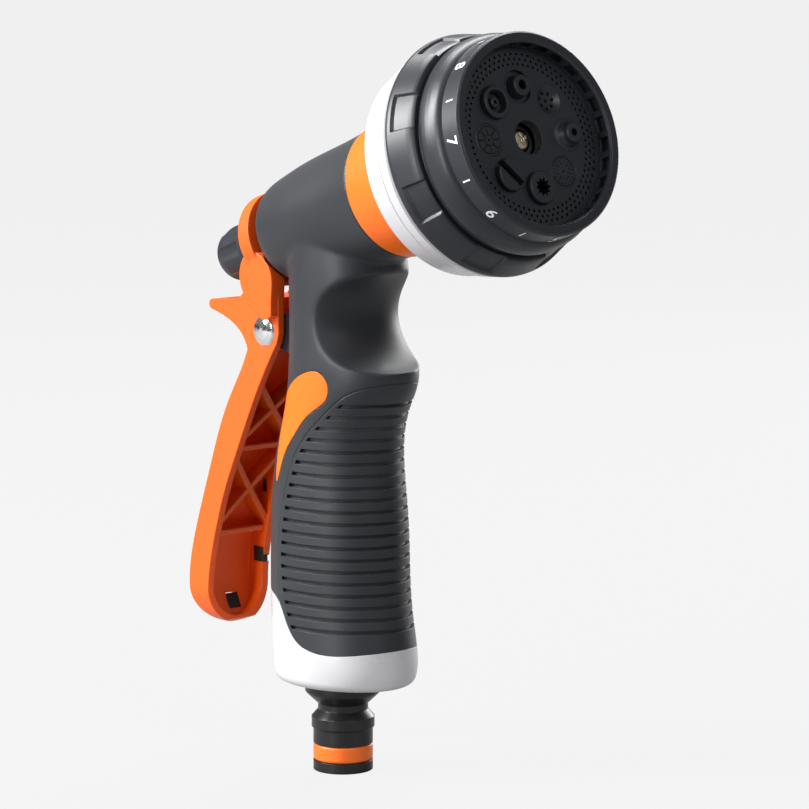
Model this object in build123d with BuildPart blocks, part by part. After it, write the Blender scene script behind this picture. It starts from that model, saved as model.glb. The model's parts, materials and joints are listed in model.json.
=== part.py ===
"""Garden hose spray nozzle with a rear trigger and a turning dial of eight sprays.

Frame: millimetres, +Z up along the hose connector and the grip, +X the way the water leaves,
+Y to the user's left. The origin is the centre of the connector's tip. Along the spray head,
a place is given as (s, r): s along the head's axis, measured forwards from where that axis
crosses the grip's, and r out from it.
"""
from build123d import *
from math import atan2, cos, degrees, radians, sin
import os

os.makedirs("parts", exist_ok=True)

# ---- driving dimensions -------------------------------------------------------------------
HEAD_HEIGHT = 146.8      # where the head's axis crosses the grip's
HEAD_TILT = 18.3         # degrees, how far the head points up
BARREL_REAR = -22.8      # s of the barrel's closed end
BARREL_REAR_R = 12.6
BARREL_MID_R = 16.1
BARREL_FRONT = 24.0      # s of the shoulder that the neck ring sits against
BARREL_FRONT_R = 17.4
SPIGOT_R = 15.2          # barrel's spigot, inside the neck ring
SPIGOT_FRONT = 40.0
CHAMBER_R = 9.1          # valve chamber and the bore that holds the distributor
CHAMBER_REAR = -10.0

GRIP_BASE = 24.0         # underside of the base cap
SKIN = 2.4               # thickness of the grip's sleeve, inlays and base cap
CAP_FLOOR = 3.0
# height, centre, half depth, half width of the grip's oval sections
GRIP_SECTIONS = (
    (GRIP_BASE, 0.3, 20.4, 16.7),
    (36.0, 0.4, 21.3, 17.0),
    (50.0, -0.9, 20.4, 16.8),
    (70.0, -1.2, 19.7, 16.4),
    (87.0, -0.5, 17.7, 15.5),
    (98.0, 2.6, 17.9, 15.2),
    (107.0, 4.6, 19.4, 15.0),
    (HEAD_HEIGHT - 32.0, 3.9, 18.2, 14.8),
    (HEAD_HEIGHT - 22.8, 2.9, 17.0, 14.7),
    (HEAD_HEIGHT - 11.8, 2.5, 16.5, 14.6),
    (HEAD_HEIGHT - 0.8, 2.4, 16.2, 14.6),
)
SCOOP_AXIS_X = -8.0      # the finger scoop is a ring-shaped cut round this upright axis
SCOOP_X = 25.2
SCOOP_DROP = 26.0        # scoop's height below the head's axis
SCOOP_Z = HEAD_HEIGHT - SCOOP_DROP
SCOOP_R = 13.4

RIB_PITCH = 3.1
RIB_GAP = 1.05           # width of each groove between two ribs
RIB_DEPTH = 1.1
RIB_LOWEST = 39.9
RIB_COUNT = 20

WATERWAY_R = 5.0
CONNECTOR_TOP = 38.0
CONNECTOR_SPIGOT_R = 9.0
CONNECTOR_LAND_R = 7.85  # the tail that slides into the hose socket
CONNECTOR_COLLAR_R = 8.3
CONNECTOR_BORE_R = 4.4
TIP_EDGE = 0.15          # broken edge of the connector's tip
HOSE_SEAL_R = CONNECTOR_LAND_R   # the seal is drawn as the socket squeezes it
HOSE_SEAL_LOW = 2.7
HOSE_SEAL_HIGH = 7.2
HOSE_SEAL_DEPTH = 1.9

PIVOT_X = -21.0
PIVOT_DROP = 31.8        # pivot's height below the head's axis
PIVOT_Z = HEAD_HEIGHT - PIVOT_DROP
PIN_R = 2.0
PIN_HEAD_R = 4.25
PIN_HEAD_H = 1.3
LUG_R = 4.2
LUG_HALF = 6.5
LEVER_HALF_TOP = 9.0     # half width of the lever at its pivot
LEVER_HALF_LOW = 10.3    # and at its rounded paddle
LEVER_WALL = 2.0
LEVER_WEB = 2.4
PADDLE_DROP = 72.0       # from the pivot down to the centre of the paddle's rounded end
PADDLE_Z = PIVOT_Z - PADDLE_DROP
HOOP_R = 12.5            # hoop of the lever round the stem
HOOP_WALL = 3.0
HOOP_REAR = -28.6
HOOP_FRONT = -24.2
BULGE = 2.4              # how far the cheek's drop stands out

STEM_R = 2.5
SEAT_S = 20.0            # rear face of the valve seat
SEAT_L = 4.0
SEAT_HOLE_R = 4.6
PLUG_R = 6.4
SPRING_R = 4.6
SPRING_WIRE_R = 0.6
SPRING_TURNS = 7
KNOB_FRONT = -31.2
KNOB_REAR = -49.6
KNOB_R = 7.8
KNOB_FLUTES = 6

NECK_RING_R = 17.6
NECK_RING_FRONT = 37.0
FLANGE_FRONT = 57.1
FLANGE_R = 30.6
CUP_R = 17.4             # distributor's cup, inside the flange
PLATE_REAR = 58.0        # distributor's plate
PLATE_FRONT = 61.8
PLATE_R = 23.8
HUB_R = 5.5
PORT_CIRCLE_R = 12.9     # the eight sprays stand on this circle
PORT_R = 2.6
SPRAYS = 8
DIAL_REAR = 57.4
DIAL_R = 31.1
DIAL_GROOVE = 65.7       # s of the groove in front of the grip ring
BAND_REAR = 74.0
BAND_R = 26.2
BEZEL_FRONT = 79.6
BEZEL_R = 23.05
DISC_FACE = 75.3
DISC_THICK = 2.5
WINDOWS = 28
PADS = 8
PAD_SHARE = 0.42         # share of the ring's pitch that each recessed pad takes
PAD_DEPTH = 1.1
HOLE_ROWS = (18.6, 19.9, 21.2)
HOLES_PER_ROW = 72
SPRAY_HOLE_R = 0.36
INSERT_R = 4.2
SCREW_R = 1.6
SCREW_HEAD_R = 3.3

RUN = 0.05               # radial clearance of a running fit
GAP = 0.3                # between pieces that move past each other
FIT = 0.02               # between pieces of one body
FAR = 90.0               # longer than anything that is cut through

# ---- frames and helpers -------------------------------------------------------------------
TILT = radians(HEAD_TILT)
FORWARD = (cos(TILT), 0, sin(TILT))
UP = (-sin(TILT), 0, cos(TILT))
HEAD_ORIGIN = (0, 0, HEAD_HEIGHT)
HEAD = Plane(origin=HEAD_ORIGIN, x_dir=(0, 1, 0), z_dir=FORWARD)
HEAD_SIDE = Plane(origin=HEAD_ORIGIN, x_dir=FORWARD, z_dir=(0, -1, 0))
HEAD_AXIS = Axis(HEAD_ORIGIN, FORWARD)
SIDE = Plane(origin=(0, 0, 0), x_dir=(1, 0, 0), z_dir=(0, -1, 0))
REAR = Plane(origin=(0, 0, 0), x_dir=(0, 1, 0), z_dir=(1, 0, 0))


def save(builder, name):
    """Label a finished piece and write it to its file."""
    builder.part.label = name
    export_step(builder.part, f"parts/{name}.step")


def turned(outline, plane=HEAD_SIDE, axis=HEAD_AXIS, mode=Mode.ADD):
    """Turn a closed outline of (along, out) points round an axis."""
    with BuildSketch(plane) as section:
        with BuildLine():
            Polyline(*outline, close=True)
        make_face()
    revolve(section.sketch, axis=axis, mode=mode)


def sleeve_of(s_low, s_high, r_in, r_out, mode=Mode.ADD):
    """A plain tube or disc on the head's axis."""
    turned([(s_low, r_in), (s_high, r_in), (s_high, r_out), (s_low, r_out)], mode=mode)


def side_prism(points, half=FAR, smooth=(), mode=Mode.ADD):
    """A block seen from the side: straight through points, and a curve through smooth."""
    with BuildSketch(SIDE) as view:
        with BuildLine():
            if smooth:
                curve = Spline(*smooth)
                Polyline(curve @ 1, *points, curve @ 0)
            else:
                Polyline(*points, close=True)
        make_face()
    extrude(view.sketch, amount=half, both=True, mode=mode)


def grip_form(inset=0.0, floor=0.0, mode=Mode.ADD):
    """The grip's oval form, shrunk by inset all round and raised off its base by floor."""
    sections = []
    for height, centre, depth, width in GRIP_SECTIONS:
        level = height + floor if height == GRIP_BASE else height
        with BuildSketch(Plane.XY.offset(level)) as oval:
            with Locations((centre, 0)):
                Ellipse(depth - inset, width - inset)
        sections.append(oval.sketch)
    loft(sections, mode=mode)


def oval_at(height):
    """The grip's centre, half depth and half width at a height."""
    for low, high in zip(GRIP_SECTIONS, GRIP_SECTIONS[1:]):
        if low[0] <= height <= high[0]:
            share = (height - low[0]) / (high[0] - low[0])
            return [a + share * (b - a) for a, b in zip(low[1:], high[1:])]


# ---- grip skins ---------------------------------------------------------------------------
SLEEVE_EDGE = (
    (31, 105.0), (21.5, 104.2), (14.9, 101.2), (10.6, 97.5), (4.2, 91.4), (-0.6, 85),
    (-4.2, 75), (-6.4, 64), (-6.6, 55), (-4.6, 45.5), (1.0, 36.6), (9.3, 33.9), (18, 34.2), (31, 35.6),
)
CAP_EDGE = (
    (-31, 47.5), (-12, 47.4), (-6.4, 45.3), (-3.4, 41.4), (1.0, 36.6), (9.3, 33.9), (18, 34.2), (31, 35.6),
)
LEAF_EDGE = (
    (-8.9, 99.5), (-4.5, 103), (2.9, 106.7), (7.5, 107.3), (10.6, 105), (10.7, 101.5), (5.1, 96.6),
    (-1.4, 90), (-6.4, 83), (-9.4, 77), (-10.3, 85), (-9.6, 93), (-8.9, 99.5),
)
RIB_MARGIN = 1.2

with BuildPart() as sleeve_zone:
    side_prism([], smooth=SLEEVE_EDGE)
    grip_form(SKIN, CAP_FLOOR, Mode.SUBTRACT)

with BuildPart() as cap_zone:
    side_prism([(31, 0), (-31, 0)], smooth=CAP_EDGE)
    grip_form(SKIN, CAP_FLOOR, Mode.SUBTRACT)

with BuildPart() as leaf_zone:
    with BuildSketch(SIDE):
        with BuildLine():
            Spline(*LEAF_EDGE)
        make_face()
    extrude(amount=FAR, both=True)
    grip_form(SKIN, CAP_FLOOR, Mode.SUBTRACT)

with BuildPart() as rib_cuts:
    for rib in range(RIB_COUNT):
        height = RIB_LOWEST + rib * RIB_PITCH
        centre, depth, width = oval_at(height)
        with BuildSketch(Plane.XY.offset(height - RIB_GAP / 2)):
            Rectangle(FAR, FAR)
            with Locations((centre, 0)):
                Ellipse(depth - RIB_DEPTH, width - RIB_DEPTH, mode=Mode.SUBTRACT)
        extrude(amount=RIB_GAP)
    with BuildSketch(SIDE):
        with BuildLine():
            edge = Spline(*[(x + RIB_MARGIN, z) for x, z in SLEEVE_EDGE])
            Line(edge @ 1, edge @ 0)
        make_face()
    extrude(amount=FAR, both=True, mode=Mode.INTERSECT)

with BuildPart() as grip_sleeve:
    grip_form()
    add(sleeve_zone.part, mode=Mode.INTERSECT)
    for cut in rib_cuts.solids():
        add(cut, mode=Mode.SUBTRACT)
save(grip_sleeve, "grip_sleeve")

with BuildPart() as base_cap:
    grip_form()
    add(cap_zone.part, mode=Mode.INTERSECT)
    rim = base_cap.edges().group_by(Axis.Z)[0]
    fillet(rim, 2.6)
    with Locations((0, 0, GRIP_BASE)):
        Cylinder(CONNECTOR_SPIGOT_R + FIT, FAR, mode=Mode.SUBTRACT)
save(base_cap, "base_cap")

for name, side in (("inlay_left", 1), ("inlay_right", -1)):
    with BuildPart() as inlay:
        grip_form()
        add(leaf_zone.part, mode=Mode.INTERSECT)
        with Locations((0, side * FAR / 2, GRIP_BASE + FAR)):
            Box(FAR, FAR, 2 * FAR, mode=Mode.INTERSECT)
    save(inlay, name)

# ---- body: barrel, grip core and pivot lug ------------------------------------------------
BARREL_LINE = (
    (-20.6, BARREL_REAR_R), (-13.6, 14.7), (-4, BARREL_MID_R - 0.3), (6, BARREL_MID_R + 0.2),
    (16, 16.7), (BARREL_FRONT, BARREL_FRONT_R),
)

with BuildPart() as body_shell:
    grip_form()
    with BuildSketch(HEAD_SIDE):
        with BuildLine():
            back = Line((BARREL_REAR, 0), (BARREL_REAR, BARREL_REAR_R - 3.2))
            top = Spline(*BARREL_LINE, tangents=((0.55, 1), (1, 0.12)), tangent_scalars=(0.6, 1))
            ThreePointArc(back @ 1, (BARREL_REAR + 0.75, BARREL_REAR_R - 1.3), top @ 0)
            Polyline(top @ 1, (BARREL_FRONT, 0), back @ 0)
        make_face()
    revolve(axis=HEAD_AXIS)
    sleeve_of(BARREL_FRONT, SPIGOT_FRONT, 0, SPIGOT_R)
    side_prism([(PIVOT_X, PIVOT_Z - LUG_R), (0, PIVOT_Z - LUG_R - 5), (0, PIVOT_Z + LUG_R + 3),
                (PIVOT_X, PIVOT_Z + LUG_R)], LUG_HALF)
    with BuildSketch(SIDE):
        with Locations((PIVOT_X, PIVOT_Z)):
            Circle(LUG_R)
    extrude(amount=LUG_HALF, both=True)
    with BuildSketch(SIDE):
        with Locations((SCOOP_X, SCOOP_Z)):
            Circle(SCOOP_R)
    revolve(axis=Axis((SCOOP_AXIS_X, 0, 0), (0, 0, 1)), mode=Mode.SUBTRACT)
    for zone in (sleeve_zone, cap_zone, leaf_zone):
        add(zone.part, mode=Mode.SUBTRACT)
    with BuildSketch(SIDE):
        with Locations((PIVOT_X, PIVOT_Z)):
            Circle(PIN_R + RUN)
    extrude(amount=FAR, both=True, mode=Mode.SUBTRACT)
    sleeve_of(CHAMBER_REAR, SPIGOT_FRONT, 0, CHAMBER_R, Mode.SUBTRACT)
    sleeve_of(BARREL_REAR, CHAMBER_REAR, 0, STEM_R + 3.5, Mode.SUBTRACT)
    with BuildSketch(Plane.XY.offset(GRIP_BASE)):
        Circle(WATERWAY_R)
    extrude(amount=HEAD_HEIGHT - GRIP_BASE, mode=Mode.SUBTRACT)
    with BuildSketch(Plane.XY.offset(GRIP_BASE)):
        Circle(CONNECTOR_SPIGOT_R + FIT)
    extrude(amount=CONNECTOR_TOP - GRIP_BASE, mode=Mode.SUBTRACT)
save(body_shell, "body_shell")

# ---- hose connector -----------------------------------------------------------------------
with BuildPart() as hose_connector:
    groove_r = HOSE_SEAL_R - HOSE_SEAL_DEPTH
    turned([
        (CONNECTOR_BORE_R, 0), (CONNECTOR_LAND_R - TIP_EDGE, 0), (CONNECTOR_LAND_R, TIP_EDGE),
        (CONNECTOR_LAND_R, HOSE_SEAL_LOW), (groove_r, HOSE_SEAL_LOW), (groove_r, HOSE_SEAL_HIGH),
        (CONNECTOR_LAND_R, HOSE_SEAL_HIGH), (CONNECTOR_LAND_R, 11.2), (CONNECTOR_COLLAR_R, 11.6),
        (CONNECTOR_COLLAR_R, 14.3), (6.6, 16.2), (6.6, 17.8), (9.6, 20.6), (10, 21.2), (10, GRIP_BASE),
        (CONNECTOR_SPIGOT_R, GRIP_BASE), (CONNECTOR_SPIGOT_R, CONNECTOR_TOP),
        (CONNECTOR_BORE_R, CONNECTOR_TOP),
    ], plane=SIDE, axis=Axis.Z)
save(hose_connector, "hose_connector")

with BuildPart() as hose_seal:
    with BuildSketch(SIDE):
        with Locations((HOSE_SEAL_R - HOSE_SEAL_DEPTH / 2, (HOSE_SEAL_LOW + HOSE_SEAL_HIGH) / 2)):
            RectangleRounded(HOSE_SEAL_DEPTH, HOSE_SEAL_HIGH - HOSE_SEAL_LOW, 0.8)
    revolve(axis=Axis.Z)
save(hose_seal, "hose_seal")

# ---- valve --------------------------------------------------------------------------------
with BuildPart() as rear_gland:
    bush_r = STEM_R + 3.5 - FIT
    sleeve_of(BARREL_REAR, CHAMBER_REAR, STEM_R + RUN, bush_r)
    sleeve_of(BARREL_REAR - 0.6, BARREL_REAR, STEM_R + RUN, bush_r + 1.5)
    for groove in (-19.5, -14.5):
        sleeve_of(groove, groove + 2, 0, STEM_R + 1.6, Mode.SUBTRACT)
save(rear_gland, "rear_gland")

with BuildPart() as stem_seals:
    for groove in (-19.5, -14.5):
        with BuildSketch(HEAD_SIDE):
            with Locations((groove + 1, STEM_R + RUN + 0.75)):
                Circle(0.75)
        revolve(axis=HEAD_AXIS)
save(stem_seals, "stem_seals")

with BuildPart() as valve_seat:
    sleeve_of(SEAT_S, SEAT_S + SEAT_L, SEAT_HOLE_R, CHAMBER_R - FIT)
    lip = valve_seat.edges().filter_by(GeomType.CIRCLE).sort_by(SortBy.RADIUS)[0:2]
    chamfer(lip, 0.6)
save(valve_seat, "valve_seat")

COLLAR_S = SEAT_S - 6.5
with BuildPart() as valve_stem:
    sleeve_of(KNOB_FRONT - 10, SEAT_S - GAP, 0, STEM_R)
    sleeve_of(COLLAR_S, COLLAR_S + 2, 0, PLUG_R - 0.6)
save(valve_stem, "valve_stem")

with BuildPart() as valve_plug:
    turned([(COLLAR_S + 2, STEM_R + FIT), (COLLAR_S + 2, PLUG_R), (SEAT_S - 1.6, PLUG_R),
            (SEAT_S - GAP / 2, PLUG_R - 1), (SEAT_S - GAP / 2, STEM_R + FIT)])
save(valve_plug, "valve_plug")

with BuildPart() as valve_spring:
    length = COLLAR_S - CHAMBER_REAR - 2 * SPRING_WIRE_R - GAP
    foot = HEAD.from_local_coords((0, 0, CHAMBER_REAR + SPRING_WIRE_R + GAP / 2))
    with BuildLine():
        coil = Helix(length / SPRING_TURNS, length, SPRING_R, center=foot, direction=FORWARD)
    with BuildSketch(Plane(origin=coil @ 0, z_dir=coil % 0)):
        Circle(SPRING_WIRE_R)
    sweep(path=coil, is_frenet=True)
save(valve_spring, "valve_spring")

with BuildPart() as thrust_washer:
    sleeve_of(KNOB_FRONT, HOOP_REAR - GAP, STEM_R + FIT, 4.6)
save(thrust_washer, "thrust_washer")

with BuildPart() as flow_knob:
    with BuildSketch(HEAD_SIDE):
        with BuildLine():
            front = Polyline((KNOB_REAR, 0), (KNOB_FRONT, 0), (KNOB_FRONT, KNOB_R - 0.8),
                             (KNOB_FRONT - 0.8, KNOB_R), (KNOB_REAR + 7, KNOB_R - 0.3))
            Spline(front @ 1, (KNOB_REAR + 1.8, KNOB_R - 2.6), front @ 0,
                   tangents=((-1, -0.05), (0, -1)))
        make_face()
    revolve(axis=HEAD_AXIS)
    sleeve_of(KNOB_FRONT - 10.2, KNOB_FRONT, 0, STEM_R + FIT, Mode.SUBTRACT)
    with BuildSketch(HEAD.offset(KNOB_FRONT - 5)):
        with PolarLocations(KNOB_R + 2.2, KNOB_FLUTES):
            Circle(3.4)
    extrude(amount=-FAR, mode=Mode.SUBTRACT)
save(flow_knob, "flow_knob")

# ---- trigger lever ------------------------------------------------------------------------
# the lever's outlines, as (x, z) from its pivot
LEVER_REAR = ((-7.2, -5.6), (-10.0, -11.4), (-15.0, -19.7), (-23.2, -39.7), (-28.3, -54.5), (-31.0, -65.0),
              (-30.8, -75.5), (-26.2, -82.8))
LEVER_FRONT = ((-22.4, -81.0), (-22.9, -67.5), (-20.2, -55.6), (-16.5, -44.4), (-11.3, -33.0), (-4.8, -19.5),
               (0.4, -10.2), (5.0, -3.0))
CHEEK_DROP = ((5.6, 4.6), (5.7, 10.0), (5.4, 16.0), (2.0, 19.6), (-3.5, 20.6), (-7.3, 16.0),
              (-6.6, 10.6), (-2.5, 6.0), (2.4, 3.3), (5.6, 4.6))
CHANNEL_TOP = ((21, -95), (21, 31), (-19, 31), (-19, 9.4), (-6, 7.4), (-5.5, -3))
SPUR_UNDER = ((-7.2, -5.6), (-9, -2.4), (-13, 0.7), (-22.2, 3.8))
SPUR_TIP = ((-23.6, 5.3), (-22.4, 6.5))
CHEEK_LINE = ((-22.4, 6.5), (-11, 7.6), (-7.9, 10.2), (-7.3, 18), (-3, 22), (5.7, 18), (5.7, -0.5), (5, -3))
RIB_CROSSES = ((-33, -12), (-57, -33))   # lowest and highest point of each crossed pair of ribs
LEVER_RIB = 1.4
RIB_SETBACK = 1.2
CHEEK_TOP = PIVOT_Z + 31
WINDOW = 4.0                          # side of the square drain holes
WALL_WINDOWS = ((-22.6, -45.5), (-24.5, -64.7))


def from_pivot(points, shift_x=0.0, shift_z=0.0):
    """Points given from the lever's pivot, moved to the part's frame."""
    return [(PIVOT_X + shift_x + x, PIVOT_Z + shift_z + z) for x, z in points]


def lever_side(front_shift=0.0):
    """The lever's long arm from the side, from its pivot down to the paddle."""
    with BuildSketch(SIDE) as view:
        with BuildLine():
            rear = Spline(*from_pivot(LEVER_REAR))
            front = Spline(*from_pivot(LEVER_FRONT, -front_shift))
            Line(rear @ 1, front @ 0)
            Line(rear @ 0, front @ 1)
        make_face()
    return view.sketch


def keep_in_lever(wall):
    """Keep what lies in the lever as seen from behind: a rounded paddle that narrows upwards."""
    low = LEVER_HALF_LOW - wall
    high = LEVER_HALF_TOP - wall
    with BuildSketch(REAR) as view:
        with BuildLine():
            ThreePointArc((-low, PADDLE_Z), (0, PADDLE_Z - low), (low, PADDLE_Z))
            Polyline((low, PADDLE_Z), (high, PIVOT_Z), (high, CHEEK_TOP), (-high, CHEEK_TOP),
                     (-high, PIVOT_Z), (-low, PADDLE_Z))
        make_face()
    extrude(view.sketch, amount=FAR, both=True, mode=Mode.INTERSECT)


def both_sides(outline, inner, outer, mode=Mode.ADD):
    """Extrude a side view outline between two distances from the middle, on both sides."""
    for way in (1, -1):
        start = outline.moved(Location((0, way * inner, 0)))
        extrude(start, amount=outer - inner, dir=(0, way, 0), mode=mode)


with BuildPart() as lever_channel:
    with BuildSketch(SIDE):
        with BuildLine():
            inner = Spline(*from_pivot(LEVER_REAR, LEVER_WEB, 1.0))
            Polyline(inner @ 1, *from_pivot(CHANNEL_TOP), inner @ 0)
        make_face()
    extrude(amount=FAR, both=True)
    keep_in_lever(LEVER_WALL)

with BuildPart() as lever_ribs:
    for low, high in RIB_CROSSES:
        rise = high - low
        for way in (1, -1):
            slope = degrees(atan2(rise, way * 2 * LEVER_HALF_LOW))
            with BuildSketch(REAR):
                with Locations(Location((0, PIVOT_Z + low + rise / 2, 0), (0, 0, slope))):
                    Rectangle((rise ** 2 + 4 * LEVER_HALF_LOW ** 2) ** 0.5, LEVER_RIB)
            extrude(amount=-FAR)
        with Locations((-FAR / 2, 0, PIVOT_Z + low)):
            Box(FAR, FAR, LEVER_RIB)
    extrude(lever_side(RIB_SETBACK), amount=FAR, both=True, mode=Mode.INTERSECT)
    keep_in_lever(LEVER_WALL / 2)

with BuildPart() as trigger_lever:
    extrude(lever_side(), amount=LEVER_HALF_LOW, both=True)
    with BuildSketch(SIDE):
        with BuildLine():
            under = Spline(*from_pivot(SPUR_UNDER))
            ThreePointArc(under @ 1, *from_pivot(SPUR_TIP))
            Polyline(*from_pivot(CHEEK_LINE), under @ 0)
        make_face()
    extrude(amount=LEVER_HALF_LOW, both=True)
    keep_in_lever(0)
    add(lever_channel.part, mode=Mode.SUBTRACT)
    add(lever_ribs.part)
    with BuildSketch(SIDE, mode=Mode.PRIVATE) as drop:
        with BuildLine():
            Spline(*from_pivot(CHEEK_DROP))
        make_face()
    both_sides(drop.sketch, LEVER_HALF_TOP - LEVER_WALL, LEVER_HALF_TOP + BULGE)
    with BuildSketch(SIDE, mode=Mode.PRIVATE) as pin_head:
        with Locations((PIVOT_X, PIVOT_Z)):
            Circle(PIN_HEAD_R + FIT)
    both_sides(pin_head.sketch, LEVER_HALF_TOP, LEVER_HALF_TOP + PIN_HEAD_H, Mode.SUBTRACT)
    with BuildSketch(SIDE, mode=Mode.PRIVATE) as pin_hole:
        with Locations((PIVOT_X, PIVOT_Z)):
            Circle(PIN_R + FIT)
    both_sides(pin_hole.sketch, 0, LEVER_HALF_TOP, Mode.SUBTRACT)
    sleeve_of(HOOP_REAR, HOOP_FRONT, HOOP_R - HOOP_WALL, HOOP_R)
    sleeve_of(HOOP_REAR, HOOP_REAR + 2, STEM_R + 2.5, HOOP_R - 1)
    turned([(BARREL_REAR - 2 * GAP, 0), (BARREL_REAR - 2 * GAP, BARREL_REAR_R - 2.6),
            (-20.9, BARREL_REAR_R + 0.8), (-13.6, 15.6), (0, 17.2), (0, 0)], mode=Mode.SUBTRACT)
    for x, z in from_pivot(WALL_WINDOWS):
        with Locations((x, LEVER_HALF_LOW, z)):
            Box(WINDOW, 2 * LEVER_WALL + 2, WINDOW, mode=Mode.SUBTRACT)
    with Locations((PIVOT_X - 29, 1.5, PADDLE_Z - 5)):
        Box(8, WINDOW, WINDOW, mode=Mode.SUBTRACT)
save(trigger_lever, "trigger_lever")

PIN_HEAD = ((0, 0), (0, PIN_HEAD_R), (PIN_HEAD_H * 0.5, PIN_HEAD_R * 0.88),
            (PIN_HEAD_H * 0.85, PIN_HEAD_R * 0.55), (PIN_HEAD_H, PIN_HEAD_R * 0.2), (PIN_HEAD_H, 0))
PIN_AXIS = Axis((PIVOT_X, 0, PIVOT_Z), (0, 1, 0))


def pin_side(way):
    """A plane through the pin, its first axis outwards from the lever's cheek on that side."""
    return Plane(origin=(PIVOT_X, way * LEVER_HALF_TOP, PIVOT_Z), x_dir=(0, way, 0), z_dir=(1, 0, 0))


with BuildPart() as pivot_pin:
    turned([(-2 * LEVER_HALF_TOP, 0), (-2 * LEVER_HALF_TOP, PIN_R), (0, PIN_R), *PIN_HEAD[1:]],
           pin_side(-1), PIN_AXIS)
save(pivot_pin, "pivot_pin")

with BuildPart() as pin_cap:
    turned(PIN_HEAD, pin_side(1), PIN_AXIS)
save(pin_cap, "pin_cap")

# ---- head sizes ---------------------------------------------------------------------------
PORT_PLATE_REAR = PLATE_FRONT + GAP
PORT_PLATE_R = 24.6
INSERT_REAR = PORT_PLATE_REAR + 4
HUB_FRONT = 70.6
BALL_R = 1.5
BALL_CIRCLE_R = 20.0
SCREW_WELL_R = 4.3
WINDOW_SHARE = 0.68


def part_turned(outline, start, sweep_angle, mode=Mode.ADD):
    """Turn an outline through part of a turn, from an angle measured from the head's top."""
    with BuildSketch(HEAD_SIDE) as section:
        with BuildLine():
            Polyline(*outline, close=True)
        make_face()
    wedge = revolve(section.sketch, axis=HEAD_AXIS, revolution_arc=sweep_angle, mode=Mode.PRIVATE)
    add(wedge.rotate(HEAD_AXIS, start), mode=mode)


# ---- fixed part of the head --------------------------------------------------------------
with BuildPart() as neck_ring:
    turned([(BARREL_FRONT, SPIGOT_R + FIT), (BARREL_FRONT, NECK_RING_R - 0.4),
            (BARREL_FRONT + 0.4, NECK_RING_R), (NECK_RING_FRONT, NECK_RING_R + 0.6),
            (NECK_RING_FRONT, SPIGOT_R + FIT)])
save(neck_ring, "neck_ring")

with BuildPart() as head_flange:
    with BuildSketch(HEAD_SIDE):
        with BuildLine():
            rear = Line((NECK_RING_FRONT, SPIGOT_R + FIT), (NECK_RING_FRONT, NECK_RING_R + 1.2))
            bell = Spline(rear @ 1, (40.5, 20.6), (44.9, FLANGE_R - 3.4), tangents=((1, 0.15), (0.4, 1)))
            Polyline(bell @ 1, (45.5, FLANGE_R - 2.9), (51.9, FLANGE_R - 1.5), (52.2, FLANGE_R - 1.9),
                     (52.6, FLANGE_R - 1.9), (52.9, FLANGE_R - 0.9), (FLANGE_FRONT - 0.6, FLANGE_R),
                     (FLANGE_FRONT, FLANGE_R - 0.5), (FLANGE_FRONT, FLANGE_R - 2.6), (47, FLANGE_R - 5),
                     (45.6, CUP_R + 2), (FLANGE_FRONT, CUP_R + 2), (FLANGE_FRONT, CUP_R + FIT),
                     (44, CUP_R + FIT), (SPIGOT_FRONT + 1.5, SPIGOT_R + FIT), rear @ 0)
        make_face()
    revolve(axis=HEAD_AXIS)
save(head_flange, "head_flange")

with BuildPart() as distributor:
    turned([(SEAT_S + SEAT_L, 6.5), (SEAT_S + SEAT_L, CHAMBER_R - RUN), (44.4, CHAMBER_R - RUN),
            (44.4, CUP_R), (PLATE_REAR, CUP_R), (PLATE_REAR, PLATE_R), (PLATE_FRONT, PLATE_R),
            (PLATE_FRONT, HUB_R), (HUB_FRONT, HUB_R), (HUB_FRONT, 0), (PLATE_REAR, 0),
            (PLATE_REAR, CUP_R - 2), (46.4, CUP_R - 2), (46.4, 6.5)])
    with BuildSketch(HEAD.offset(PLATE_REAR)):
        with Locations((0, -PORT_CIRCLE_R)):
            Circle(PORT_R)
        Circle(SCREW_R)
    extrude(amount=FAR, mode=Mode.SUBTRACT)
    with BuildSketch(HEAD.offset(PLATE_FRONT)):
        with Locations((0, -PORT_CIRCLE_R)):
            Circle(PORT_R + 1.7)
        with Locations((0, BALL_CIRCLE_R)):
            Circle(BALL_R + RUN)
    extrude(amount=-1.2, mode=Mode.SUBTRACT)
    with BuildSketch(HEAD.offset(PLATE_FRONT)):
        with Locations((0, BALL_CIRCLE_R)):
            Circle(BALL_R + RUN)
    extrude(amount=-3.2, mode=Mode.SUBTRACT)
save(distributor, "distributor")

with BuildPart() as neck_seal:
    with BuildSketch(HEAD_SIDE):
        with Locations((SPIGOT_FRONT + 1, CHAMBER_R + 1)):
            Circle(0.95)
    revolve(axis=HEAD_AXIS)
save(neck_seal, "neck_seal")

with BuildPart() as port_seal:
    with BuildSketch(HEAD.offset(PLATE_FRONT - 1.2)):
        with Locations((0, -PORT_CIRCLE_R)):
            Circle(PORT_R + 1.6)
            Circle(PORT_R, mode=Mode.SUBTRACT)
    extrude(amount=1.4)
save(port_seal, "port_seal")

with BuildPart() as detent_spring:
    wire = 0.25
    foot = HEAD.from_local_coords((0, BALL_CIRCLE_R, PLATE_FRONT - 3.2 + wire + FIT))
    with BuildLine():
        turns = Helix(0.6, 1.2, BALL_R - wire - 0.2, center=foot, direction=FORWARD)
    with BuildSketch(Plane(origin=turns @ 0, z_dir=turns % 0)):
        Circle(wire)
    sweep(path=turns, is_frenet=True)
save(detent_spring, "detent_spring")

with BuildPart() as detent_ball:
    with Locations(HEAD.from_local_coords((0, BALL_CIRCLE_R, PORT_PLATE_REAR))):
        Sphere(BALL_R)
save(detent_ball, "detent_ball")

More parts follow.
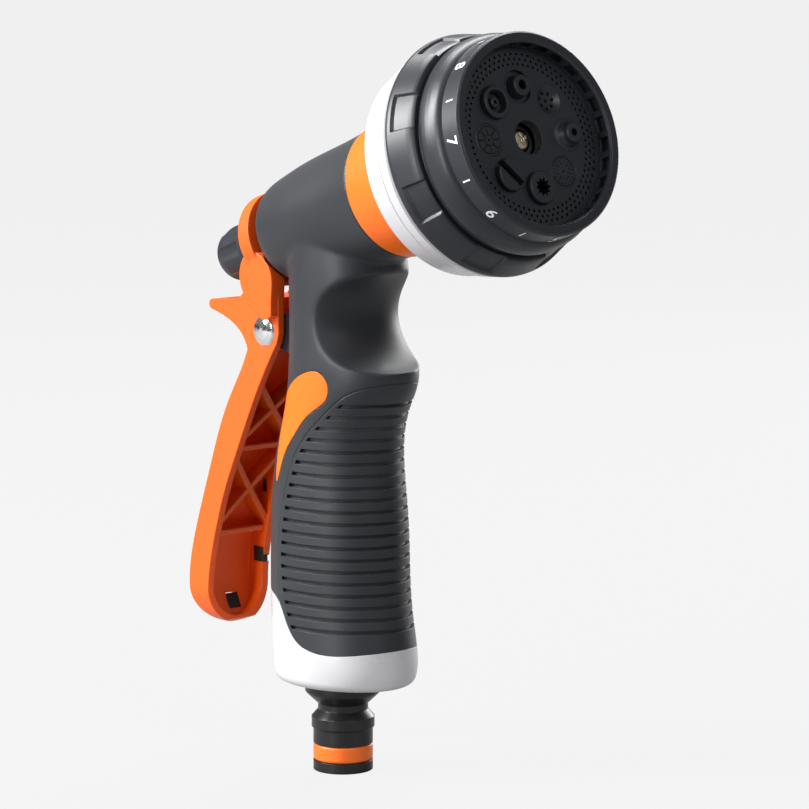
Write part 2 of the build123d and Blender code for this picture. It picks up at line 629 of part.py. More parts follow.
# ---- turning dial -------------------------------------------------------------------------
with BuildPart() as port_plate:
    sleeve_of(PORT_PLATE_REAR, PORT_PLATE_REAR + 4, HUB_R + RUN, PORT_PLATE_R)
    with BuildSketch(HEAD_SIDE):
        with Locations((PORT_PLATE_REAR, BALL_CIRCLE_R)):
            Circle(BALL_R + 0.1)
    revolve(axis=HEAD_AXIS, mode=Mode.SUBTRACT)
    with BuildSketch(HEAD.offset(PORT_PLATE_REAR)):
        with PolarLocations(PORT_CIRCLE_R, SPRAYS):
            Circle(PORT_R)
    extrude(amount=FAR, mode=Mode.SUBTRACT)
save(port_plate, "port_plate")

with BuildPart() as dial_ring:
    turned([
        (DIAL_REAR, 27.4), (DIAL_REAR, DIAL_R - 0.7), (DIAL_REAR + 0.7, DIAL_R),
        (DIAL_GROOVE - 0.6, 28.9), (DIAL_GROOVE, 28.3), (DIAL_GROOVE, 26.7), (DIAL_GROOVE + 0.8, 26.7),
        (DIAL_GROOVE + 1.1, 27.5), (DIAL_GROOVE + 2.5, 28.0), (71, 27.8), (73.2, 27.1),
        (BAND_REAR, BAND_R + 0.1), (BAND_REAR, PORT_PLATE_R), (60.6, PORT_PLATE_R), (60.0, 27.4),
    ])
    for pad in range(PADS):
        start = (pad + 0.5 - PAD_SHARE / 2) * 360 / PADS
        part_turned([(DIAL_REAR + 2.2, DIAL_R - 0.6 - PAD_DEPTH), (DIAL_REAR + 2.2, DIAL_R + 3),
                     (DIAL_GROOVE, DIAL_R + 3), (DIAL_GROOVE, 28.7 - PAD_DEPTH)],
                    start, PAD_SHARE * 360 / PADS, Mode.SUBTRACT)
save(dial_ring, "dial_ring")

with BuildPart() as dial_bezel:
    turned([(BAND_REAR, BEZEL_R), (BAND_REAR, BAND_R), (BEZEL_FRONT - 0.5, BAND_R - 0.3),
            (BEZEL_FRONT, BAND_R - 0.8), (BEZEL_FRONT, BEZEL_R + 0.4), (BEZEL_FRONT - 0.5, BEZEL_R)])
    sleeve_of(BAND_REAR - 3, BAND_REAR, BEZEL_R, PORT_PLATE_R - FIT)
    pitch = 360 / WINDOWS
    for window in range(WINDOWS):
        part_turned([(DISC_FACE + 0.5, BEZEL_R - 1), (DISC_FACE + 0.5, BEZEL_R + 1.7),
                     (BEZEL_FRONT - 1, BEZEL_R + 1.7), (BEZEL_FRONT - 1, BEZEL_R - 1)],
                    window * pitch, WINDOW_SHARE * pitch, Mode.SUBTRACT)
save(dial_bezel, "dial_bezel")

with BuildPart() as spray_disc:
    with BuildSketch(HEAD.offset(DISC_FACE - DISC_THICK)):
        Circle(BEZEL_R - FIT)
        Circle(SCREW_WELL_R, mode=Mode.SUBTRACT)
        with PolarLocations(PORT_CIRCLE_R, SPRAYS):
            Circle(INSERT_R + FIT, mode=Mode.SUBTRACT)
        for row, row_r in enumerate(HOLE_ROWS):
            with PolarLocations(row_r, HOLES_PER_ROW, start_angle=row * 180 / HOLES_PER_ROW):
                Circle(SPRAY_HOLE_R, mode=Mode.SUBTRACT)
    extrude(amount=DISC_THICK)
save(spray_disc, "spray_disc")


def spray_insert(turn, name, outline, holes):
    """One spray insert: a cup on the port circle, turned from (along, out) points, with holes."""
    angle = radians(turn)
    centre = HEAD.from_local_coords((PORT_CIRCLE_R * sin(angle), PORT_CIRCLE_R * cos(angle), 0))
    across = HEAD.x_dir * cos(angle) - HEAD.y_dir * sin(angle)
    side = Plane(origin=centre, x_dir=FORWARD, z_dir=(0, -1, 0))
    face = Plane(origin=centre, x_dir=across, z_dir=FORWARD)
    with BuildPart() as insert:
        cup = [(INSERT_REAR, PORT_R), (INSERT_REAR, INSERT_R - 0.6), (BACK, INSERT_R - 0.6), (BACK, INSERT_R)]
        turned(cup + outline + [(BACK, 0), (BACK, PORT_R)], side, Axis(centre, FORWARD))
        for shape, s_low, s_high in holes:
            with BuildSketch(face.offset(s_low)) as opening:
                shape()
            extrude(opening.sketch, amount=s_high - s_low, mode=Mode.SUBTRACT)
    save(insert, name)


def ring_of_holes(ring_r, count, hole_r):
    """Round holes spaced evenly on a ring."""
    with PolarLocations(ring_r, count):
        Circle(hole_r)


def middle_hole(hole_r):
    """A round hole in the middle."""
    return lambda: Circle(hole_r)


def rose():
    """A shower rose: one hole in the middle and a ring round it."""
    Circle(0.42)
    ring_of_holes(2.0, 7, 0.42)


def mist_rays():
    """Two rows of short rays."""
    for ring_r, count, length in ((3.0, 18, 0.6), (2.0, 12, 0.6)):
        with PolarLocations(ring_r, count):
            Rectangle(length, 0.26)


def gear_mouth():
    """A round mouth with ten lobes."""
    Circle(1.75)
    ring_of_holes(1.95, 10, 0.38)


def slot_mouth():
    """A wide slot right across, at an angle."""
    Rectangle(9.5, 1.9, rotation=-2)


def wheel_marks():
    """The sunk rings and spokes of a wheel."""
    for outer in (3.6, 1.5):
        Circle(outer)
        Circle(outer - 0.24, mode=Mode.SUBTRACT)
    with PolarLocations(2.42, 8):
        Rectangle(2.06, 0.26)


BACK = DISC_FACE - DISC_THICK
RAISED = [(DISC_FACE + 1.3, INSERT_R - 0.1), (DISC_FACE + 1.6, INSERT_R - 0.4)]
FLUSH = [(DISC_FACE - 0.15, INSERT_R), (DISC_FACE, INSERT_R - 0.15), (DISC_FACE, 0)]
DISHED = [(DISC_FACE, INSERT_R), (DISC_FACE, INSERT_R - 0.45), (DISC_FACE - 0.9, 2.2), (DISC_FACE - 1.1, 0)]
TUBE = [(DISC_FACE - 1, INSERT_R), (DISC_FACE - 1, 3.0), (DISC_FACE + 1.6, 2.7), (DISC_FACE + 1.9, 2.4),
        (DISC_FACE + 1.9, 0)]
CONE = [(DISC_FACE, INSERT_R), (DISC_FACE + 0.2, 3.4), (DISC_FACE + 1.4, 2.6), (DISC_FACE + 2.6, 2.4),
        (DISC_FACE + 2.8, 2.1), (DISC_FACE + 2.8, 0)]
GROOVED = [(DISC_FACE, INSERT_R), (DISC_FACE, 3.85), (DISC_FACE - 0.3, 3.8), (DISC_FACE - 0.3, 3.6),
           (DISC_FACE, 3.55), (DISC_FACE, 0)]
CUPPED = RAISED + [(DISC_FACE + 1.6, 3.0), (DISC_FACE - 0.9, 2.7), (DISC_FACE - 0.9, 1.45),
                   (DISC_FACE + 0.7, 1.35), (DISC_FACE + 0.9, 1.1), (DISC_FACE + 0.9, 0)]
LIDDED = RAISED + [(DISC_FACE + 1.6, 0)]
spray_insert(0, "spray_jet", TUBE, [(middle_hole(1.3), BACK, FAR)])
spray_insert(45, "spray_shower", DISHED, [(rose, BACK, FAR)])
spray_insert(90, "spray_cone", CONE, [(middle_hole(1.0), BACK, FAR)])
spray_insert(135, "spray_mist", GROOVED, [(mist_rays, DISC_FACE - 0.4, FAR), (middle_hole(0.3), BACK, FAR)])
spray_insert(180, "spray_soaker", LIDDED, [(gear_mouth, BACK, FAR)])
spray_insert(225, "spray_flat", LIDDED, [(slot_mouth, DISC_FACE - 0.6, FAR), (middle_hole(0.7), BACK, FAR)])
spray_insert(270, "spray_wheel", FLUSH, [(wheel_marks, DISC_FACE - 0.4, FAR), (middle_hole(0.3), BACK, FAR)])
spray_insert(315, "spray_angle", CUPPED, [(middle_hole(0.5), BACK, FAR)])

with BuildPart() as dial_washer:
    sleeve_of(HUB_FRONT, HUB_FRONT + 0.5, SCREW_R + FIT, HUB_R - 0.8)
save(dial_washer, "dial_washer")

with BuildPart() as dial_screw:
    turned([(PLATE_REAR + 1, 0), (PLATE_REAR + 1, SCREW_R), (HUB_FRONT + 0.5, SCREW_R),
            (HUB_FRONT + 0.5, SCREW_HEAD_R), (HUB_FRONT + 1.3, SCREW_HEAD_R - 0.2),
            (HUB_FRONT + 2, SCREW_HEAD_R - 1.2), (HUB_FRONT + 2.2, 0)])
    with BuildSketch(HEAD.offset(HUB_FRONT + 1)):
        Rectangle(3.6, 0.7, rotation=25)
        Rectangle(0.7, 3.6, rotation=25)
    extrude(amount=2, mode=Mode.SUBTRACT)
save(dial_screw, "dial_screw")
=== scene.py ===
"""Hose spray nozzle: finishes, fine pieces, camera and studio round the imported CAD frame."""

import json
import math

import bmesh
import bpy
from mathutils.bvhtree import BVHTree
from mathutils import Matrix, Vector


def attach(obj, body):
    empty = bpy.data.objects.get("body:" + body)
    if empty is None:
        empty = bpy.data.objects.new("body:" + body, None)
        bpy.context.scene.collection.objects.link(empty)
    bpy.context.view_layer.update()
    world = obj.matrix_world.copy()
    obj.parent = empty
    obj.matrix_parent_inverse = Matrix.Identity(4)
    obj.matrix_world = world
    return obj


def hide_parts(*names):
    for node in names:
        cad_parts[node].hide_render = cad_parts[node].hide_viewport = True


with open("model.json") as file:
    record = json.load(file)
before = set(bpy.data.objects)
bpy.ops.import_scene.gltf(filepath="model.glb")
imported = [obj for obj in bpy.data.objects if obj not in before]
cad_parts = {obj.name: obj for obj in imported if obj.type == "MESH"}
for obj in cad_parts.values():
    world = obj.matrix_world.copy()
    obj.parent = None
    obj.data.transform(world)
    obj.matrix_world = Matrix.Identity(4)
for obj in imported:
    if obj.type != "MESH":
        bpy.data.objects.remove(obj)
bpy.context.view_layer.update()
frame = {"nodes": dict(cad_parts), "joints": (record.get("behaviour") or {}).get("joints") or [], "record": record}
NODES = frame["nodes"]
MM = 0.001

# ---- head frame: s runs forwards along the spray head's axis ---------------------------------
DIAL_JOINT = next(joint for joint in frame["joints"] if joint["name"] == "dial_turn")
FORWARD = Vector(DIAL_JOINT["axis"]).normalized()
UP = Vector((-FORWARD.z, 0, FORWARD.x))
LEFT = Vector((0, 1, 0))
HEAD_ORIGIN = Vector(DIAL_JOINT["pos_m"]) - FORWARD * Vector(DIAL_JOINT["pos_m"]).x / FORWARD.x


def on_head(s, r, turn):
    """A point at s along the head's axis, r out from it, turned from the top towards the left."""
    angle = math.radians(turn)
    return HEAD_ORIGIN + FORWARD * s + (UP * math.cos(angle) + LEFT * math.sin(angle)) * r


# ---- shader node helpers ---------------------------------------------------------------------
def add_node(tree, kind, **values):
    """A new shader node with its settings and the values of its named sockets."""
    node = tree.nodes.new(kind)
    for key, value in values.items():
        if hasattr(node, key):
            setattr(node, key, value)
        else:
            node.inputs[key.replace("_", " ")].default_value = value
    return node


def surface_group():
    """Shared surface effect: fine grain, slow mottling, scuffs and a worn edge mask."""
    group = bpy.data.node_groups.new("moulded_surface", "ShaderNodeTree")
    face = group.interface
    for name, default in (("Grain Scale", 1400.0), ("Mottle Scale", 60.0), ("Scuff Scale", 260.0),
                          ("Edge Width", 0.0004)):
        face.new_socket(name, in_out="INPUT", socket_type="NodeSocketFloat").default_value = default
    for name in ("Grain", "Mottle", "Scuff", "Edge"):
        face.new_socket(name, in_out="OUTPUT", socket_type="NodeSocketFloat")
    inlet = group.nodes.new("NodeGroupInput")
    outlet = group.nodes.new("NodeGroupOutput")
    coords = group.nodes.new("ShaderNodeTexCoord")
    link = group.links.new
    grain = add_node(group, "ShaderNodeTexNoise", Detail=3.0, Roughness=0.65)
    mottle = add_node(group, "ShaderNodeTexNoise", Detail=4.0, Roughness=0.55)
    scuff = add_node(group, "ShaderNodeTexNoise", Detail=6.0, Roughness=0.7, Distortion=1.2)
    scuff_cut = add_node(group, "ShaderNodeMapRange", clamp=True)
    for key, value in (("From Min", 0.58), ("From Max", 0.72)):
        scuff_cut.inputs[key].default_value = value
    for node, scale in ((grain, "Grain Scale"), (mottle, "Mottle Scale"), (scuff, "Scuff Scale")):
        link(coords.outputs["Object"], node.inputs["Vector"])
        link(inlet.outputs[scale], node.inputs["Scale"])
    link(scuff.outputs["Fac"], scuff_cut.inputs["Value"])
    bevel = group.nodes.new("ShaderNodeBevel")
    bevel.samples = 4
    geometry = group.nodes.new("ShaderNodeNewGeometry")
    dot = add_node(group, "ShaderNodeVectorMath", operation="DOT_PRODUCT")
    edge = add_node(group, "ShaderNodeMapRange", clamp=True)
    for key, value in (("From Min", 0.985), ("From Max", 0.80)):
        edge.inputs[key].default_value = value
    link(inlet.outputs["Edge Width"], bevel.inputs["Radius"])
    link(bevel.outputs["Normal"], dot.inputs[0])
    link(geometry.outputs["Normal"], dot.inputs[1])
    link(dot.outputs["Value"], edge.inputs["Value"])
    link(grain.outputs["Fac"], outlet.inputs["Grain"])
    link(mottle.outputs["Fac"], outlet.inputs["Mottle"])
    link(scuff_cut.outputs["Result"], outlet.inputs["Scuff"])
    link(edge.outputs["Result"], outlet.inputs["Edge"])
    return group


SURFACE = surface_group()


def finish(name, base, rough, grain=1400.0, bump=0.25, bump_size=0.00004, vary=0.12, wear=0.25, worn=None,
           metallic=0.0, coat=0.0, coat_rough=0.1, ior=1.46, sheen=0.0, glow=0.0, edge_width=0.0003):
    """A moulded or metal finish: mottled colour, grained bump, scuffed roughness, worn edges."""
    material = bpy.data.materials.new(name)
    material.use_nodes = True
    tree = material.node_tree
    link = tree.links.new
    shader = tree.nodes["Principled BSDF"]
    surface = tree.nodes.new("ShaderNodeGroup")
    surface.node_tree = SURFACE
    surface.inputs["Grain Scale"].default_value = grain
    surface.inputs["Edge Width"].default_value = edge_width
    dark = [max(0.0, c * (1 - vary)) for c in base] + [1.0]
    light = [min(1.0, c * (1 + vary)) for c in base] + [1.0]
    body = add_node(tree, "ShaderNodeMix", data_type="RGBA")
    body.inputs["A"].default_value = dark
    body.inputs["B"].default_value = light
    for key in ("A", "B"):
        socket = [i for i in body.inputs if i.name == key and i.type == "RGBA"][0]
        socket.default_value = dark if key == "A" else light
    edge = add_node(tree, "ShaderNodeMix", data_type="RGBA")
    edge_a, edge_b = [i for i in edge.inputs if i.type == "RGBA"]
    edge_b.default_value = list(worn or [min(1.0, c * 1.5 + 0.02) for c in base]) + [1.0]
    strength = add_node(tree, "ShaderNodeMath", operation="MULTIPLY")
    strength.inputs[1].default_value = wear
    link(surface.outputs["Mottle"], body.inputs["Factor"])
    link([o for o in body.outputs if o.type == "RGBA"][0], edge_a)
    link(surface.outputs["Edge"], strength.inputs[0])
    link(strength.outputs[0], edge.inputs["Factor"])
    link([o for o in edge.outputs if o.type == "RGBA"][0], shader.inputs["Base Color"])
    rough_map = add_node(tree, "ShaderNodeMapRange", clamp=True)
    rough_map.inputs["To Min"].default_value = rough - 0.05
    rough_map.inputs["To Max"].default_value = rough + 0.07
    blend = add_node(tree, "ShaderNodeMath", operation="ADD")
    half = add_node(tree, "ShaderNodeMath", operation="MULTIPLY")
    half.inputs[1].default_value = 0.3
    link(surface.outputs["Scuff"], half.inputs[0])
    link(surface.outputs["Mottle"], blend.inputs[0])
    link(half.outputs[0], blend.inputs[1])
    link(blend.outputs[0], rough_map.inputs["Value"])
    link(rough_map.outputs["Result"], shader.inputs["Roughness"])
    relief = add_node(tree, "ShaderNodeBump", Strength=bump, Distance=bump_size)
    link(surface.outputs["Grain"], relief.inputs["Height"])
    soft = tree.nodes.new("ShaderNodeBevel")
    soft.samples = 4
    soft.inputs["Radius"].default_value = edge_width
    link(soft.outputs["Normal"], relief.inputs["Normal"])
    link(relief.outputs["Normal"], shader.inputs["Normal"])
    shader.inputs["Metallic"].default_value = metallic
    shader.inputs["IOR"].default_value = ior
    shader.inputs["Coat Weight"].default_value = coat
    shader.inputs["Coat Roughness"].default_value = coat_rough
    shader.inputs["Sheen Weight"].default_value = sheen
    shader.inputs["Sheen Roughness"].default_value = 0.5
    if glow:
        shader.inputs["Subsurface Weight"].default_value = glow
        shader.inputs["Subsurface Radius"].default_value = (1.0, 0.35, 0.1)
        shader.inputs["Subsurface Scale"].default_value = 0.003
    return material


FINISHES = {
    "soft_grey": finish("soft_grey", (0.014, 0.0165, 0.021), 0.44, grain=2200, bump=0.35, sheen=0.06),
    "grip_rubber": finish("grip_rubber", (0.013, 0.0155, 0.020), 0.46, grain=2600, bump=0.4, sheen=0.06),
    "dial_grey": finish("dial_grey", (0.017, 0.0195, 0.025), 0.36, grain=2400, bump=0.3),
    "black_plastic": finish("black_plastic", (0.010, 0.010, 0.011), 0.30, grain=1800, bump=0.15),
    "black_rubber": finish("black_rubber", (0.012, 0.012, 0.012), 0.6, grain=2000, bump=0.3),
    "pale_plastic": finish("pale_plastic", (0.52, 0.52, 0.54), 0.26, grain=1500, bump=0.08, vary=0.02,
                           wear=0.1, coat=0.25, worn=(0.9, 0.9, 0.92)),
    "orange_plastic": finish("orange_plastic", (0.84, 0.100, 0.004), 0.42, grain=1700, bump=0.35, vary=0.06,
                             wear=0.35, worn=(0.95, 0.17, 0.02), glow=0.12, edge_width=0.0006),
    "orange_rubber": finish("orange_rubber", (0.90, 0.145, 0.006), 0.38, grain=2000, bump=0.25, vary=0.05,
                            wear=0.2, worn=(1.0, 0.26, 0.04), glow=0.12),
    "orange_seal": finish("orange_seal", (0.85, 0.15, 0.012), 0.36, grain=2000, bump=0.15, vary=0.04, glow=0.1),
    "spring_steel": finish("spring_steel", (0.55, 0.55, 0.56), 0.28, grain=2500, bump=0.1, metallic=1.0),
    "screw_brass": finish("screw_brass", (0.95, 0.82, 0.64), 0.16, grain=2500, bump=0.15, metallic=1.0),
    "mark_white": finish("mark_white", (0.80, 0.81, 0.83), 0.42, grain=3000, bump=0.1, vary=0.05, wear=0.0),
    "bright_pin": finish("bright_pin", (0.86, 0.86, 0.88), 0.10, grain=2500, bump=0.04, metallic=1.0, vary=0.03),
}

for entry in frame["record"]["subparts"]:
    node = NODES[entry["node"]]
    node.data.materials.clear()
    node.data.materials.append(FINISHES[entry["material_slot"]])


# ---- new pieces ------------------------------------------------------------------------------
def to_object(name, verts, faces, material, body, smooth=True, sharp=35.0):
    """A new mesh piece that rides on a CAD body."""
    mesh = bpy.data.meshes.new(name)
    mesh.from_pydata([tuple(v) for v in verts], [], faces)
    mesh.update()
    piece = bpy.data.objects.new(name, mesh)
    bpy.context.scene.collection.objects.link(piece)
    mesh.materials.append(FINISHES[material])
    if smooth:
        shade(piece, sharp)
    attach(piece, body)
    return piece


def shade(piece, sharp=35.0):
    """Smooth shading, with edges above an angle left sharp."""
    mesh = piece.data
    mesh.shade_smooth()
    work = bmesh.new()
    work.from_mesh(mesh)
    limit = math.radians(sharp)
    for edge in work.edges:
        edge.smooth = not (len(edge.link_faces) == 2 and edge.calc_face_angle(0.0) > limit)
    work.to_mesh(mesh)
    work.free()


def merged_copy(node, name, spacing=0.00002):
    """A copy of a CAD node's mesh whose split corners are welded."""
    source = NODES[node]
    mesh = source.data.copy()
    mesh.name = name
    piece = bpy.data.objects.new(name, mesh)
    bpy.context.scene.collection.objects.link(piece)
    work = bmesh.new()
    work.from_mesh(mesh)
    bmesh.ops.remove_doubles(work, verts=work.verts, dist=spacing)
    work.to_mesh(mesh)
    work.free()
    return piece


def apply_modifiers(piece):
    """Bake the modifiers of a piece into its mesh."""
    bpy.context.view_layer.update()
    shaped = piece.evaluated_get(bpy.context.evaluated_depsgraph_get())
    mesh = bpy.data.meshes.new_from_object(shaped)
    piece.modifiers.clear()
    piece.data = mesh
    return piece


# band marks: a numeral for each spray, and a small tick between each pair
BAND_S, BAND_R = 76.6, 26.12


def wrapped_numeral(number, turn):
    """A numeral laid on the band and bent round it, reading along the band."""
    curve = bpy.data.curves.new("numeral", "FONT")
    curve.body = str(number)
    curve.size = 0.0048
    curve.align_x = "CENTER"
    curve.align_y = "CENTER"
    curve.offset = 0.00006
    holder = bpy.data.objects.new("numeral_%d" % number, curve)
    bpy.context.scene.collection.objects.link(holder)
    bpy.context.view_layer.update()
    mesh = bpy.data.meshes.new_from_object(holder.evaluated_get(bpy.context.evaluated_depsgraph_get()))
    bpy.data.objects.remove(holder)
    work = bmesh.new()
    work.from_mesh(mesh)
    bmesh.ops.triangulate(work, faces=work.faces)
    bmesh.ops.subdivide_edges(work, edges=work.edges, cuts=2)
    for vert in work.verts:
        along, up = vert.co.x, vert.co.y
        angle = turn - math.degrees(along / (BAND_R * MM))
        vert.co = on_head((BAND_S * MM) + up, (BAND_R + 0.05) * MM - 0.045 * up, angle)
    work.to_mesh(mesh)
    work.free()
    piece = bpy.data.objects.new("numeral_%d" % number, mesh)
    bpy.context.scene.collection.objects.link(piece)
    mesh.materials.clear()
    mesh.materials.append(FINISHES["mark_white"])
    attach(piece, "dial")
    return piece

def blended_shell():
    """The shell, with the barrel running into the grip and the scoop in soft moulded radii."""
    piece = merged_copy("body_shell", "soft_shell")
    remesh = piece.modifiers.new("remesh", "REMESH")
    remesh.mode = "VOXEL"
    remesh.voxel_size = 0.00034
    apply_modifiers(piece)
    group = piece.vertex_groups.new(name="blend")
    shoulder, seam, band = 0.0205, 0.1085, 0.002
    for vert in piece.data.vertices:
        s = (vert.co - HEAD_ORIGIN).dot(FORWARD)
        weight = min(max((vert.co.z - seam) / band, 0), 1) * min(max((shoulder - s) / band, 0), 1)
        group.add([vert.index], max(weight, 0.03), "REPLACE")
    soften = piece.modifiers.new("soften", "SMOOTH")
    soften.factor = 0.5
    soften.iterations = 60
    soften.vertex_group = "blend"
    apply_modifiers(piece)
    piece.vertex_groups.clear()
    piece.data.materials.clear()
    piece.data.materials.append(FINISHES["soft_grey"])
    shade(piece, 50)
    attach(piece, "handle")
    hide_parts("body_shell")


# the dial's grip ring: outline of its outside, then its inside, as (s, r) in millimetres
RING_PADS, RING_STEPS, RING_STEP, PAD_DRAFT, PAD_LEAD = 8, 720, 0.35, 0.6, 0.3
PAD_MIN_R = 28           # only the ring behind its groove is this wide
RING_OUTSIDE = (
    (57.4, 30.3), (57.6, 30.75), (58.1, 31.05), (58.8, 31.05), (60.0, 30.7), (62.0, 30.1), (64.0, 29.5),
    (65.0, 29.1), (65.5, 28.75), (65.7, 28.2), (65.7, 26.9), (66.0, 26.7), (66.4, 26.75), (66.6, 27.2),
    (67.0, 27.6), (68.2, 28.0), (69.6, 28.0), (71.0, 27.8), (72.4, 27.4), (73.2, 27.05), (73.7, 26.6),
    (74.0, 26.25),
)
RING_INSIDE = ((74.0, 24.6), (60.6, 24.6), (60.0, 27.4), (57.4, 27.4))
PAD_FROM, PAD_TO, PAD_SINK, PAD_WIDTH = 59.6, 65.75, 0.75, 18.6


def grip_ring():
    """The dial's outer ring, its eight pads sunk with drafted sides."""
    outside = []
    for (s0, r0), (s1, r1) in zip(RING_OUTSIDE, RING_OUTSIDE[1:]):
        steps = max(1, round(max(abs(s1 - s0), abs(r1 - r0)) / RING_STEP))
        outside += [(s0 + (s1 - s0) * i / steps, r0 + (r1 - r0) * i / steps) for i in range(steps)]
    outside.append(RING_OUTSIDE[-1])
    pitch = 360 / RING_PADS
    verts, faces = [], []
    for step in range(RING_STEPS):
        turn = 360 * step / RING_STEPS
        off = abs((turn % pitch) - pitch / 2)
        across = min(max((PAD_WIDTH / 2 - off) / PAD_DRAFT, 0), 1)
        for s, r in outside:
            along = min(max((s - PAD_FROM) / PAD_LEAD, 0), 1) if s <= PAD_TO else 0
            verts.append(on_head(s * MM, (r - PAD_SINK * across * along * (r > PAD_MIN_R)) * MM, turn))
        verts += [on_head(s * MM, r * MM, turn) for s, r in RING_INSIDE]
    count = len(outside) + len(RING_INSIDE)
    for step in range(RING_STEPS):
        ahead = (step + 1) % RING_STEPS
        for i in range(count):
            j = (i + 1) % count
            faces.append((step * count + i, ahead * count + i, ahead * count + j, step * count + j))
    piece = to_object("grip_ring", verts, faces, "dial_grey", "dial", sharp=28)
    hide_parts("dial_ring")


def band_ticks():
    """A short white tick on the band between each two numerals."""
    verts, faces = [], []
    for tick in range(8):
        middle = 22.5 + 45 * tick
        for step in range(5):
            turn = middle + (step - 2) * 0.22
            verts += [on_head(s * MM, (BAND_R + 0.05 - 0.045 * (s - BAND_S)) * MM, turn) for s in (75.4, 77.9)]
        base = len(verts) - 10
        faces += [(base + 2 * i, base + 2 * i + 1, base + 2 * i + 3, base + 2 * i + 2) for i in range(4)]
    piece = to_object("band_ticks", verts, faces, "mark_white", "dial")


PIVOT = Vector(next(joint for joint in frame["joints"] if joint["name"] == "lever_pivot")["pos_m"])


def window_pad(name, inside, beside, size):
    """A small black block set into a square window of the lever, level with its wall.

    The wall is found by looking from inside the channel, beside the window."""
    way = Vector((0, 1, 0)) if name.startswith("wall") else Vector((-1, 0, 0))
    wall, normal, _, _ = LEVER_TREE.ray_cast(PIVOT + inside + beside, way)
    facing = -normal if normal.dot(way) > 0 else normal
    middle = PIVOT + inside + way * (wall - PIVOT - inside).dot(way)
    work = bmesh.new()
    bmesh.ops.create_cube(work, size=1.0)
    for vert in work.verts:
        vert.co = Vector([c * l for c, l in zip(vert.co, size)])
    bmesh.ops.bevel(work, geom=work.edges, offset=0.0004, segments=3, affect="EDGES", profile=0.6)
    bmesh.ops.transform(work, matrix=facing.to_track_quat("Z", "Y").to_matrix().to_4x4(), verts=work.verts)
    for vert in work.verts:
        vert.co += middle - facing * (size[2] / 2 - 0.0002)
    mesh = bpy.data.meshes.new(name)
    work.to_mesh(mesh)
    work.free()
    piece = bpy.data.objects.new(name, mesh)
    bpy.context.scene.collection.objects.link(piece)
    mesh.materials.append(FINISHES["black_rubber"])
    shade(piece, 40)
    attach(piece, "lever")


LEVER_MESH = NODES["trigger_lever"].data
LEVER_TREE = BVHTree.FromPolygons([vert.co for vert in LEVER_MESH.vertices],
                                  [face.vertices for face in LEVER_MESH.polygons])
blended_shell()
grip_ring()
# small black blocks in three square windows of the lever, two in the side wall and one in the floor of its channel
WINDOW_BLOCK_SIZE = (0.0041, 0.0041, 0.0018)
for name, x, z in (("wall_block_high", -0.0226, -0.0455), ("wall_block_low", -0.0245, -0.0647)):
    window_pad(name, Vector((x, 0.002, z)), Vector((0, 0, 0.0035)), WINDOW_BLOCK_SIZE)
window_pad("floor_block", Vector((-0.022, 0.0015, -0.077)), Vector((0, 0.0035, 0)), WINDOW_BLOCK_SIZE)
for number in range(1, 9):
    wrapped_numeral(number, 45 * (number - 1))
band_ticks()


# ---- camera ----------------------------------------------------------------------------------
def place_camera():
    """A long lens in front, to the right and a little above."""
    data = bpy.data.cameras.new("camera")
    data.lens = 180
    data.sensor_width = 36
    data.clip_end = 20
    camera = bpy.data.objects.new("camera", data)
    bpy.context.scene.collection.objects.link(camera)
    azimuth, pitch, distance = math.radians(49.4), math.radians(8.0), 1.06706
    target = Vector((0.39, 20.96, 94.96)) * MM
    back = Vector((math.sin(azimuth) * math.cos(pitch), -math.cos(azimuth) * math.cos(pitch), math.sin(pitch)))
    camera.location = target + back * distance
    camera.rotation_euler = (math.pi / 2 - pitch, 0, azimuth)
    bpy.context.scene.camera = camera


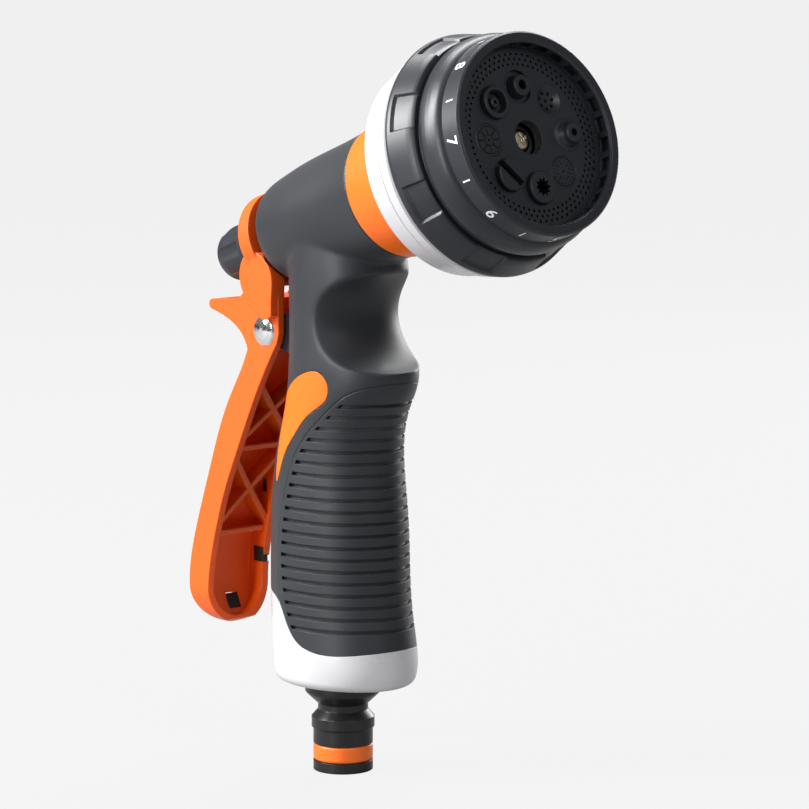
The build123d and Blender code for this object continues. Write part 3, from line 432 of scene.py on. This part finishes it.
# ---- studio ----------------------------------------------------------------------------------
def soft_box(name, place, aim, width, height, watts, tint=(1, 1, 1)):
    """A rectangular studio light that points at aim."""
    data = bpy.data.lights.new(name, "AREA")
    data.shape = "RECTANGLE"
    data.size, data.size_y = width, height
    data.energy = watts
    data.color = tint
    light = bpy.data.objects.new(name, data)
    bpy.context.scene.collection.objects.link(light)
    light.location = place
    light.rotation_euler = (Vector(aim) - Vector(place)).to_track_quat("-Z", "Y").to_euler()


def build_studio():
    """A pale floor, an even sky and soft boxes."""
    bpy.ops.mesh.primitive_plane_add(size=60, location=(0, 0, 0))
    floor = bpy.context.object
    floor.name = "floor"
    material = bpy.data.materials.new("floor_paper")
    material.use_nodes = True
    tree = material.node_tree
    shader = tree.nodes["Principled BSDF"]
    shader.inputs["Base Color"].default_value = (0.22, 0.22, 0.22, 1)
    shader.inputs["Roughness"].default_value = 0.9
    glow = add_node(tree, "ShaderNodeEmission", Strength=0.93)
    seen = tree.nodes.new("ShaderNodeLightPath")
    share = add_node(tree, "ShaderNodeMath", operation="MULTIPLY")
    share.inputs[1].default_value = 0.93
    mix = tree.nodes.new("ShaderNodeMixShader")
    tree.links.new(seen.outputs["Is Camera Ray"], share.inputs[0])
    tree.links.new(share.outputs[0], mix.inputs["Fac"])
    tree.links.new(shader.outputs[0], mix.inputs[1])
    tree.links.new(glow.outputs[0], mix.inputs[2])
    tree.links.new(mix.outputs[0], tree.nodes["Material Output"].inputs["Surface"])
    floor.data.materials.append(material)
    world = bpy.data.worlds.new("studio_sky")
    world.use_nodes = True
    world.node_tree.nodes["Background"].inputs["Color"].default_value = (1, 1, 1, 1)
    world.node_tree.nodes["Background"].inputs["Strength"].default_value = 0.22
    bpy.context.scene.world = world
    middle = (0, 0, 0.12)
    soft_box("key_left", (-0.55, -0.85, 0.75), middle, 0.35, 0.7, 30)
    soft_box("left_strip", (0.15, -1.15, 0.30), middle, 0.16, 0.7, 7)
    soft_box("top_back", (-0.45, 0.35, 1.0), middle, 0.7, 0.4, 12)
    soft_box("face_fill", (1.1, -0.15, 0.75), middle, 0.5, 0.4, 4.5)
    soft_box("rear_rim", (-0.3, 1.0, 0.45), middle, 0.4, 0.9, 8)
    bpy.context.scene.view_settings.view_transform = "Standard"


place_camera()
build_studio()
